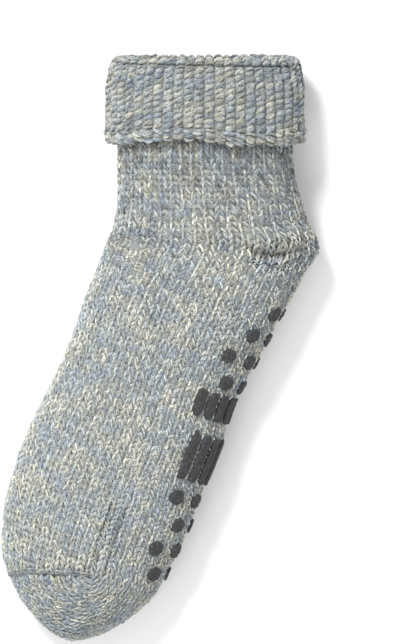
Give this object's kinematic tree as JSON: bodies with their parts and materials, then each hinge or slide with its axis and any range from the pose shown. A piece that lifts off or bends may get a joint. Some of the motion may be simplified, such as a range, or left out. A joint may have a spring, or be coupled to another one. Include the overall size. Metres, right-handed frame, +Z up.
{
  "type": "slipper sock",
  "caption": "Chunky marl knit slipper sock with a turned-over ribbed cuff, round heel and toe, and rubber grip dots and bars on its sole, lying on its side.",
  "frame": {"origin": "on the flat underside, below the middle of the ankle's bend", "axes": "+Z up from the side the sock lies on, +X to the sole and the heel, +Y to the collar, midway between the lines of leg and foot"},
  "size_m": [0.1366, 0.3315, 0.0542],
  "materials": {
    "marl_knit": "grey marl wool, stocking stitch",
    "marl_rib": "grey marl wool, rib",
    "grip_rubber": "matte printed rubber"
  },
  "bodies": {
    "root": {"knit_sock": "marl_knit", "turned_cuff": "marl_rib", "toe_seam": "marl_knit", "heel_dot_1_1": "grip_rubber", "heel_dot_1_2": "grip_rubber", "heel_dot_2_1": "grip_rubber", "heel_dot_2_2": "grip_rubber", "heel_dot_2_3": "grip_rubber", "heel_dot_3_1": "grip_rubber", "heel_dot_3_2": "grip_rubber", "heel_dot_3_3": "grip_rubber", "heel_dot_3_4": "grip_rubber", "heel_dot_4_1": "grip_rubber", "heel_dot_4_2": "grip_rubber", "heel_dot_4_3": "grip_rubber", "ball_dot_1_1": "grip_rubber", "ball_dot_1_2": "grip_rubber", "ball_dot_1_3": "grip_rubber", "ball_dot_1_4": "grip_rubber", "ball_dot_2_1": "grip_rubber", "ball_dot_2_2": "grip_rubber", "ball_dot_2_3": "grip_rubber", "ball_dot_3_1": "grip_rubber", "ball_dot_3_2": "grip_rubber", "ball_dot_3_3": "grip_rubber", "ball_dot_3_4": "grip_rubber", "ball_dot_4_1": "grip_rubber", "ball_dot_4_2": "grip_rubber", "ball_dot_4_3": "grip_rubber", "short_bar_1": "grip_rubber", "short_bar_2": "grip_rubber", "short_bar_3": "grip_rubber", "short_bar_4": "grip_rubber", "short_bar_5": "grip_rubber", "short_bar_6": "grip_rubber", "short_bar_7": "grip_rubber", "short_bar_8": "grip_rubber", "long_bar_1": "grip_rubber", "long_bar_2": "grip_rubber", "long_bar_3": "grip_rubber", "long_bar_4": "grip_rubber", "long_bar_5": "grip_rubber", "long_bar_6": "grip_rubber", "long_bar_7": "grip_rubber", "long_bar_8": "grip_rubber"}
  },
  "joints": []
}
